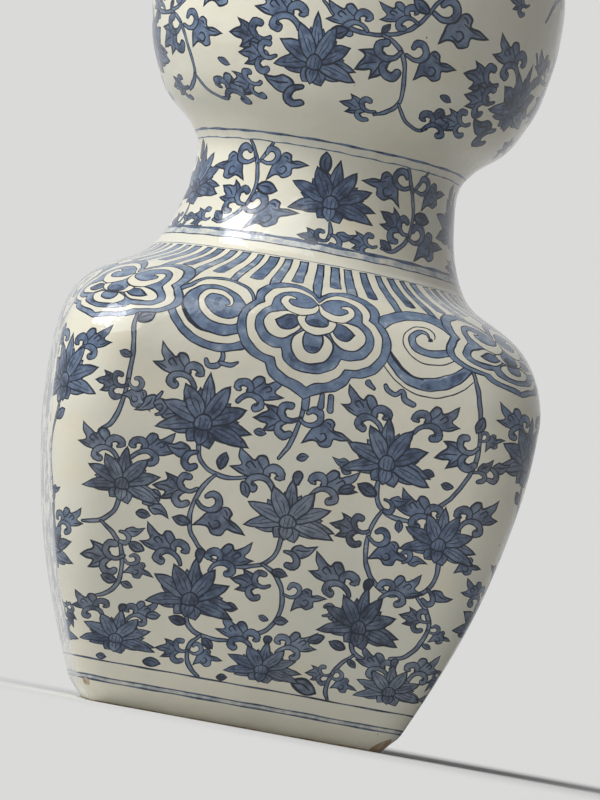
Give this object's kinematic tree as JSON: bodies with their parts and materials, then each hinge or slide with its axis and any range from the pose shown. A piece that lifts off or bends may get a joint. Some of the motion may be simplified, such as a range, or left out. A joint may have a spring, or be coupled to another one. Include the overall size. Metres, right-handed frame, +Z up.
{
  "type": "double gourd vase",
  "caption": "Blue and white porcelain vase: square lower bulb with rounded corners, round waist, round upper bulb and short open neck; stands on a recessed foot.",
  "frame": {"origin": "middle of the foot, on the surface that the vase stands on", "axes": "+Z up along the vase's axis to the mouth; -Y faces out of the front wall, +X out of the right wall"},
  "size_m": [0.2196, 0.2196, 0.453],
  "materials": {
    "painted_glaze": "clear glossy glaze over cobalt blue painting on an off-white ground",
    "plain_glaze": "clear glossy glaze on an off-white ground, unpainted"
  },
  "bodies": {
    "root": {"base_slab": "plain_glaze", "wall_front": "painted_glaze", "wall_right": "painted_glaze", "wall_back": "painted_glaze", "wall_left": "painted_glaze", "shoulder": "painted_glaze", "waist": "painted_glaze", "bulb_lower": "painted_glaze", "bulb_upper": "painted_glaze", "neck": "painted_glaze"}
  },
  "joints": []
}
